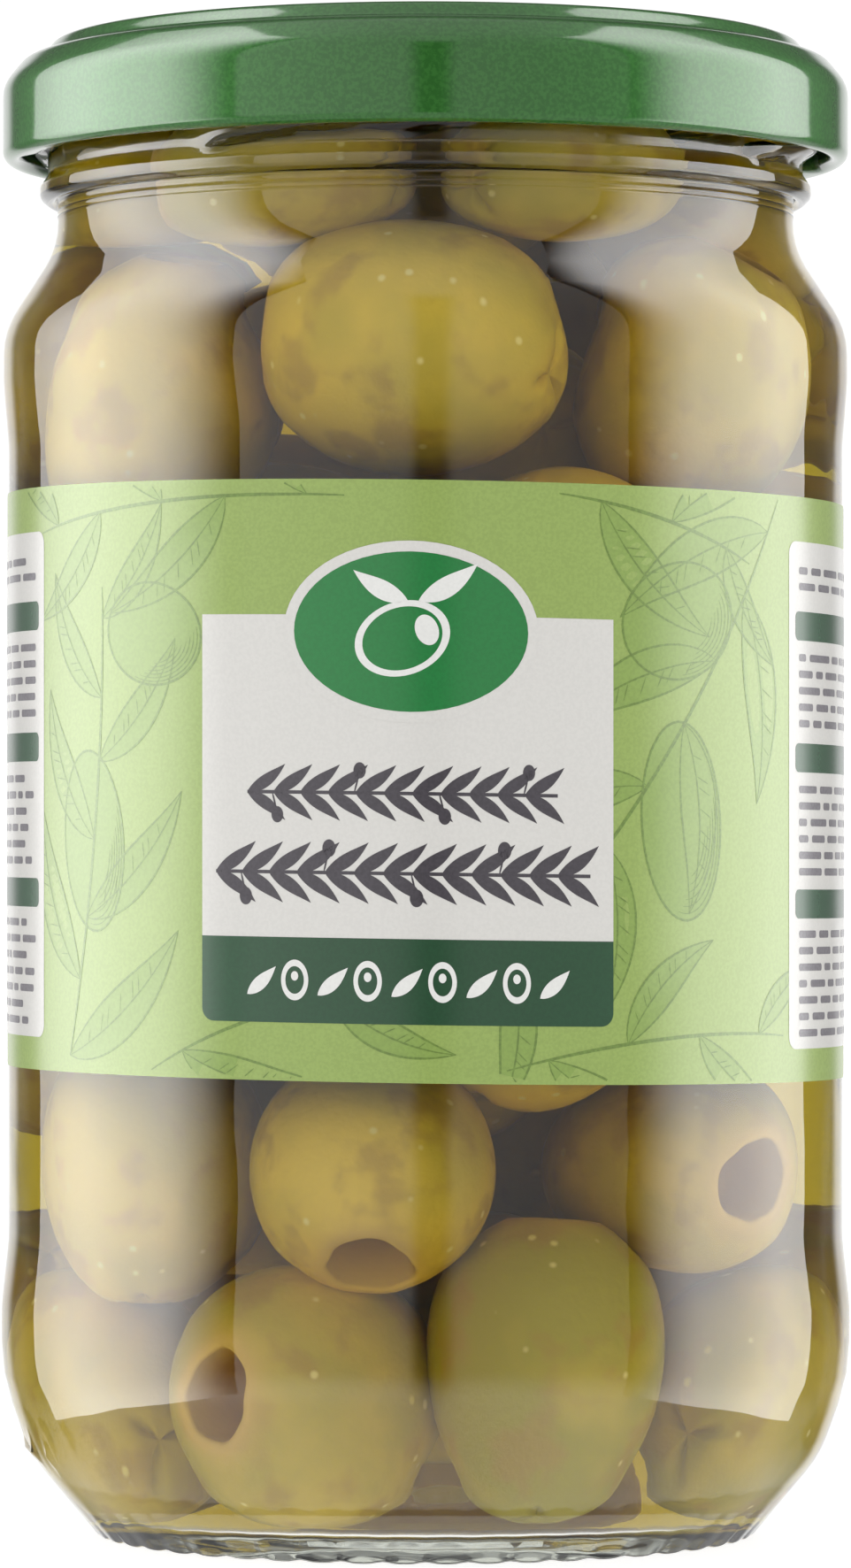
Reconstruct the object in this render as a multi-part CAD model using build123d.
from build123d import *

import os
from math import asin, cos, degrees, hypot, radians, sin, sqrt, tan

# A 314 ml grocery jar of pitted green olives in brine: the glass jar, a twist-off lid with its
# seal, a wrap-round paper label, and the contents up to their level. Millimetres, +Z up, standing
# on z = 0 with its axis on Z. The label's front faces -Y, and angles count to the right from there.

# ---- glass, overall ---------------------------------------------------------------------------
JAR_HEIGHT = 115.0  # foot to sealing rim
PANEL_R = 32.55  # the recessed wall that the label is glued to
WALL = 2.1  # side wall at the panel
FINISH_R = 29.5  # the plain wall of the mouth, between its threads
FINISH_WALL = 2.8

# ---- glass, foot and heel ---------------------------------------------------------------------
FOOT_R = 25.6  # outer edge of the ring that the jar stands on
FOOT_WIDTH = 2.6
FOOT_ROUND = 0.5
FLUTE_COUNT = 50  # radial grooves moulded into the ring's outer part
FLUTE_R = 0.75
FLUTE_DEPTH = 0.35
FLUTE_INSET = 1.3  # from the ring's outer edge to where a groove starts
PUSH_UP = 1.6  # height of the underside's middle above the ring
PUSH_UP_WIDTH = 6.0  # width of the slope between ring and middle
FLOOR = 3.1  # height of the floor's edge inside the jar
FLOOR_EDGE_INSET = 2.3  # that edge lies this far inside the foot's outer edge
FLOOR_CROWN = 1.0  # the floor's middle stands this far above its edge
FLOOR_CROWN_WIDTH = 9.0
HEEL_LEAN = 40.0  # degrees from upright, just above the foot
HEEL_TOP_LEAN = 19.5
HEEL_BREAK_Z = 6.3  # where the first lean gives way to the second
HEEL_BREAK_ARC = 3.0
HEEL_ARC = 15.0
INNER_HEEL_TOP = 8.6  # above the floor's edge, where the inside wall becomes upright
INNER_HEEL_KNEE = 2.4
INNER_HEEL_WIDTH = 3.4
INNER_HEEL_ARC = 9.0

# ---- glass, the two bumper bands above and below the label ------------------------------------
LOWER_BAND_PROUD = 0.58
LOWER_BAND_TOP = 17.9
LOWER_BAND_RUN = 5.2  # height over which the band falls back to the panel
UPPER_BAND_PROUD = 0.41
UPPER_BAND_RUN = 5.0
UPPER_BAND_HEIGHT = 4.1
BAND_ARC = 14.0

# ---- glass, shoulder, bead and mouth, measured down from the rim ------------------------------
NECK_DEPTH = 0.78  # the waist under the bead lies this far inside the mouth's plain wall
NECK_DROP = 14.8  # rim to where the shoulder meets the neck
SHOULDER_LEAN = 33.1  # degrees from upright
SHOULDER_ARC = 6.4
NECK_ARC = 4.0
BEAD_DROP = 10.5  # rim to the bead's middle
BEAD_PROUD = 0.62
BEAD_HEIGHT = 0.8
BEAD_UNDER = 1.25  # height of the bead's lower flank
BEAD_OVER = 0.9
BEAD_ROUND = 0.7
RIM_ROUND = 1.1

# ---- glass, thread in four short ramps --------------------------------------------------------
THREAD_COUNT = 4
THREAD_PROUD = 1.4
THREAD_R = 1.15  # radius of a ramp's round section
THREAD_SPAN = 72.0  # degrees
THREAD_RISE = 3.7
THREAD_START = -38.0  # where the first ramp's low end is

# ---- glass, mould dots on the heel ------------------------------------------------------------
DOT_R = 0.8
DOT_PROUD = 0.3
DOT_Z = 6.9
DOT_ANGLES = (-84.0, -76.0, -68.0)

# ---- contents ---------------------------------------------------------------------------------
HEADSPACE = 5.0  # rim down to the brine

# ---- paper label ------------------------------------------------------------------------------
LABEL_INSET_LOW = 13.0  # label's lower edge above the panel's, at its front
LABEL_INSET_HIGH = 4.1  # label's upper edge below the panel's
LABEL_PAPER = 0.1
LABEL_LAP = 7.0  # width of the glued overlap at the back
LABEL_TILT = 0.85  # degrees: the wrap went on a little out of square, lower on the right

# ---- lid --------------------------------------------------------------------------------------
SHEET = 0.25  # tinplate with its lacquer
SEAL = 0.9  # compound squeezed between rim and lid
SEAL_MARGIN = 0.3  # the seal stops this far inside the raised ring's flat top
THREAD_GAP = 0.5  # between the thread's crest and the rolled edge
CURL = 1.6  # diameter of the rolled edge
LID_HEIGHT = 9.3
LID_RING_WIDTH = 1.9  # flat top of the raised ring, over the middle of the rim
LID_RING_ROUND = 0.6
LID_BEVEL = 23.5  # degrees from level, between the ring and the corner
LID_CORNER_ARC = 3.5
LID_PANEL_DROP = 0.85  # the top's middle lies this far below the ring
LID_PANEL_SLOPE = 1.0  # width of the slope down to it
LID_STEP_R = 17.0
LID_STEP = 0.3
LID_STEP_WIDTH = 0.8
BUTTON_R = 9.5
BUTTON_DIP = 0.5  # the sealed button is drawn down
BUTTON_SLOPE = 5.0
LUG_SPAN = 15.0  # degrees
LUG_HEIGHT = 1.0
LUG_LIFT = 0.2  # lug's underside above the lid's lower edge
LUG_BITE = 0.5  # how far it reaches in past the thread's crest
LUG_CLEARANCE = 0.1  # under the ramp
LUG_TRAVEL = 50.0  # degrees along the ramp, low end to the tightened lug

# ---- worked out from the above ----------------------------------------------------------------
LOWER_BAND_R = PANEL_R + LOWER_BAND_PROUD
UPPER_BAND_R = PANEL_R + UPPER_BAND_PROUD
INNER_R = PANEL_R - WALL
MOUTH_R = FINISH_R - FINISH_WALL
RIM_R = FINISH_R - FINISH_WALL / 2
NECK_R = FINISH_R - NECK_DEPTH
SHOULDER_SLOPE = tan(radians(SHOULDER_LEAN))
NECK_Z = JAR_HEIGHT - NECK_DROP
SHOULDER_Z = NECK_Z - (UPPER_BAND_R - NECK_R) / SHOULDER_SLOPE
UPPER_BAND_Z = SHOULDER_Z - UPPER_BAND_HEIGHT
LABEL_FOOT = LOWER_BAND_TOP + LOWER_BAND_RUN + LABEL_INSET_LOW
LABEL_HEIGHT = UPPER_BAND_Z - UPPER_BAND_RUN - LABEL_INSET_HIGH - LABEL_FOOT
BEAD_Z = JAR_HEIGHT - BEAD_DROP
BEAD_R = FINISH_R + BEAD_PROUD
BRINE_Z = JAR_HEIGHT - HEADSPACE
THREAD_CREST_R = FINISH_R + THREAD_PROUD
THREAD_PATH_R = THREAD_CREST_R - THREAD_R
LID_R = THREAD_CREST_R + THREAD_GAP + CURL
LID_TOP_Z = JAR_HEIGHT + SEAL + SHEET
LID_EDGE_Z = LID_TOP_Z - LID_HEIGHT
LUG_R = THREAD_CREST_R - LUG_BITE
FAR = 2 * (JAR_HEIGHT + PANEL_R)  # larger than the jar, for cutting


def limited(corners):
    """The roundings of (radius, height, rounding) corners, each limited by its two straights."""
    roundings = []
    for i, (x1, y1, wish) in enumerate(corners):
        (x0, y0, _), (x2, y2, _) = corners[i - 1], corners[(i + 1) % len(corners)]
        before, after = hypot(x1 - x0, y1 - y0), hypot(x2 - x1, y2 - y1)
        bend = ((x1 - x0) * (x2 - x1) + (y1 - y0) * (y2 - y1)) / (before * after)
        half_turn = sqrt((1 - bend) / (1 + bend))
        roundings.append(min(wish, 0.49 * min(before, after) / half_turn))
    return roundings


def turned(corners):
    """The solid swept round Z by an outline of (radius, height, rounding) corners, given clockwise."""
    points = [(x, y) for x, y, _ in corners]
    outline = FilletPolyline(*points, radius=limited(corners), close=True)
    return revolve(Plane.XZ * make_face(outline.edges()), Axis.Z, 360)


def placed(piece, radius, height, angle):
    """A piece made at the origin, moved out to a radius and a height, an angle from the front."""
    return Rot(Z=angle) * Pos(0, -radius, height) * piece


def heel_radius(height):
    """Radius of the jar's outside between the foot and the lower band."""
    break_r = FOOT_R + HEEL_BREAK_Z * tan(radians(HEEL_LEAN))
    lean = HEEL_LEAN if height < HEEL_BREAK_Z else HEEL_TOP_LEAN
    return break_r + (height - HEEL_BREAK_Z) * tan(radians(lean))


def outside():
    """The jar's outside as corners, from its foot up to its rim."""
    heel_top = HEEL_BREAK_Z + (LOWER_BAND_R - heel_radius(HEEL_BREAK_Z)) / tan(radians(HEEL_TOP_LEAN))
    bead_low, bead_high = BEAD_Z - BEAD_HEIGHT / 2, BEAD_Z + BEAD_HEIGHT / 2
    return [
        (FOOT_R, 0, FOOT_ROUND),
        (heel_radius(HEEL_BREAK_Z), HEEL_BREAK_Z, HEEL_BREAK_ARC),
        (LOWER_BAND_R, heel_top, HEEL_ARC),
        (LOWER_BAND_R, LOWER_BAND_TOP, BAND_ARC),
        (PANEL_R, LOWER_BAND_TOP + LOWER_BAND_RUN, BAND_ARC),
        (PANEL_R, UPPER_BAND_Z - UPPER_BAND_RUN, BAND_ARC),
        (UPPER_BAND_R, UPPER_BAND_Z, BAND_ARC),
        (UPPER_BAND_R, SHOULDER_Z, SHOULDER_ARC),
        (NECK_R, NECK_Z, NECK_ARC),
        (NECK_R, bead_low - BEAD_UNDER, BEAD_ROUND),
        (BEAD_R, bead_low, BEAD_ROUND),
        (BEAD_R, bead_high, BEAD_ROUND),
        (FINISH_R, bead_high + BEAD_OVER, BEAD_ROUND),
        (FINISH_R, JAR_HEIGHT, RIM_ROUND),
    ]


def inside(rim_round):
    """The inside as corners, from the rim down to the middle of the floor."""
    floor_r = FOOT_R - FLOOR_EDGE_INSET
    shoulder_z = SHOULDER_Z - WALL * tan(radians(SHOULDER_LEAN / 2))
    return [
        (MOUTH_R, JAR_HEIGHT, rim_round),
        (MOUTH_R, shoulder_z + (INNER_R - MOUTH_R) / SHOULDER_SLOPE, NECK_ARC + WALL),
        (INNER_R, shoulder_z, SHOULDER_ARC - WALL),
        (INNER_R, FLOOR + INNER_HEEL_TOP, HEEL_ARC - WALL),
        (floor_r + INNER_HEEL_WIDTH, FLOOR + INNER_HEEL_KNEE, INNER_HEEL_ARC),
        (floor_r, FLOOR, HEEL_BREAK_ARC),
        (floor_r - FLOOR_CROWN_WIDTH, FLOOR + FLOOR_CROWN, HEEL_ARC),
        (0, FLOOR + FLOOR_CROWN, 0),
    ]


def ramp_height(angle):
    """Height of a ramp's middle line above the middle of its span, at an angle from its low end."""
    half = THREAD_SPAN / 2
    return THREAD_RISE / 2 * sin(radians(angle - half)) / sin(radians(half))


def threads():
    """Four ramps of round section: each is part of a ring tipped so that it climbs to the right."""
    half = THREAD_SPAN / 2
    tip = degrees(asin(THREAD_RISE / 2 / (THREAD_PATH_R * sin(radians(half)))))
    hold = sqrt(THREAD_R**2 - (LUG_R - THREAD_PATH_R) ** 2)
    lug_top = LID_EDGE_Z + LUG_LIFT + LUG_HEIGHT
    middle_z = lug_top + LUG_CLEARANCE + hold - ramp_height(LUG_TRAVEL)
    section = Plane.XZ * Pos(THREAD_PATH_R, 0) * Circle(THREAD_R)
    ramp = Rot(Z=-90) * Rot(X=tip) * Rot(Z=-half) * revolve(section, Axis.Z, THREAD_SPAN)
    step = 360 / THREAD_COUNT
    return [Rot(Z=THREAD_START + half + i * step) * Pos(0, 0, middle_z) * ramp for i in range(THREAD_COUNT)]


def glass_jar():
    foot_inner = FOOT_R - FOOT_WIDTH
    underside = [
        (0, PUSH_UP, 0),
        (foot_inner - PUSH_UP_WIDTH, PUSH_UP, HEEL_ARC),
        (foot_inner, 0, FOOT_ROUND),
    ]
    once_round = underside + outside() + inside(RIM_ROUND)
    glass = turned(once_round[::-1])
    glass += threads()
    glass += [
        placed(Sphere(DOT_R), heel_radius(DOT_Z) - DOT_R + DOT_PROUD, DOT_Z, angle) for angle in DOT_ANGLES
    ]
    flute = Rot(X=90) * Cylinder(FLUTE_R, FAR / 4, align=(Align.CENTER, Align.CENTER, Align.MIN))
    flute_z = FLUTE_DEPTH - FLUTE_R
    turn = 360 / FLUTE_COUNT
    glass -= [placed(flute, FOOT_R - FLUTE_INSET, flute_z, i * turn) for i in range(FLUTE_COUNT)]
    return glass


def brine():
    """The contents, face to face with the glass, up to their level."""
    cavity = turned([(0, JAR_HEIGHT, 0)] + inside(0))
    below = Pos(0, 0, BRINE_Z - FAR / 2) * Box(FAR, FAR, FAR)
    return cavity & below


def label():
    """A band cut from a tube by two slightly tilted planes, with its lap at the back."""

    def sleeve(radius):
        middle = Pos(0, 0, JAR_HEIGHT / 2)
        return middle * (Cylinder(radius + LABEL_PAPER, JAR_HEIGHT) - Cylinder(radius, JAR_HEIGHT))

    lap_box = Pos(0, FAR / 2, JAR_HEIGHT / 2) * Box(LABEL_LAP, FAR, JAR_HEIGHT)
    paper = sleeve(PANEL_R) + (sleeve(PANEL_R + LABEL_PAPER) & lap_box)
    slab = Rot(Y=LABEL_TILT) * Box(FAR, FAR, LABEL_HEIGHT * cos(radians(LABEL_TILT)))
    return paper & (Pos(0, 0, LABEL_FOOT + LABEL_HEIGHT / 2) * slab)


def lid_face(sunk):
    """The lid's outer face as corners from its middle to its edge, moved inwards by a sheet."""
    ring_in, ring_out = RIM_R - LID_RING_WIDTH / 2, RIM_R + LID_RING_WIDTH / 2
    panel_z = LID_TOP_Z - LID_PANEL_DROP
    bevel = radians(LID_BEVEL)
    corner_z = LID_TOP_Z - (LID_R - ring_out) * tan(bevel)
    bevel_shift = sunk * tan(bevel / 2)
    corner_shift = sunk * (1 - sin(bevel)) / cos(bevel)
    return [
        (0, panel_z - BUTTON_DIP - sunk, 0),
        (BUTTON_R - BUTTON_SLOPE, panel_z - BUTTON_DIP - sunk, HEEL_ARC),
        (BUTTON_R, panel_z - sunk, HEEL_ARC),
        (LID_STEP_R, panel_z - sunk, LID_RING_ROUND),
        (LID_STEP_R + LID_STEP_WIDTH, panel_z + LID_STEP - sunk, LID_RING_ROUND),
        (ring_in - LID_PANEL_SLOPE + sunk / 2, panel_z + LID_STEP - sunk, LID_RING_ROUND),
        (ring_in + sunk / 2, LID_TOP_Z - sunk, LID_RING_ROUND),
        (ring_out - bevel_shift, LID_TOP_Z - sunk, 2 * LID_RING_ROUND - sunk),
        (LID_R - sunk, corner_z - corner_shift, LID_CORNER_ARC - sunk),
    ]


def lid():
    edge_z = LID_EDGE_Z + CURL / 2
    shell = turned(lid_face(0) + [(LID_R, edge_z, 0), (0, edge_z, 0)])
    shell -= turned(lid_face(SHEET) + [(LID_R - SHEET, LID_EDGE_Z, 0), (0, LID_EDGE_Z, 0)])
    shell += Pos(0, 0, edge_z) * Torus(LID_R - CURL / 2, CURL / 2)
    lug_reach = LID_R - CURL / 2 - LUG_R
    lug_section = Plane.XZ * Pos(LUG_R + lug_reach / 2, LID_EDGE_Z + LUG_LIFT + LUG_HEIGHT / 2)
    lug = revolve(lug_section * Rectangle(lug_reach, LUG_HEIGHT), Axis.Z, LUG_SPAN)
    step = 360 / THREAD_COUNT
    first = THREAD_START - 90 + LUG_TRAVEL
    shell += [Rot(Z=first + i * step) * lug for i in range(THREAD_COUNT)]
    return shell


def lid_gasket():
    """The ring of sealing compound between the rim and the lid's raised ring."""
    half = LID_RING_WIDTH / 2 - SEAL_MARGIN
    ring = Cylinder(RIM_R + half, SEAL) - Cylinder(RIM_R - half, SEAL)
    return Pos(0, 0, JAR_HEIGHT + SEAL / 2) * ring


NODES = {
    "glass_jar": glass_jar,
    "brine": brine,
    "label": label,
    "lid": lid,
    "lid_gasket": lid_gasket,
}

os.makedirs("parts", exist_ok=True)
for name, make in NODES.items():
    shape = make()
    export_step(shape, f"parts/{name}.step")
    print(f"{name}: {len(shape.solids())} solid, {shape.volume / 1000:.2f} cm3")
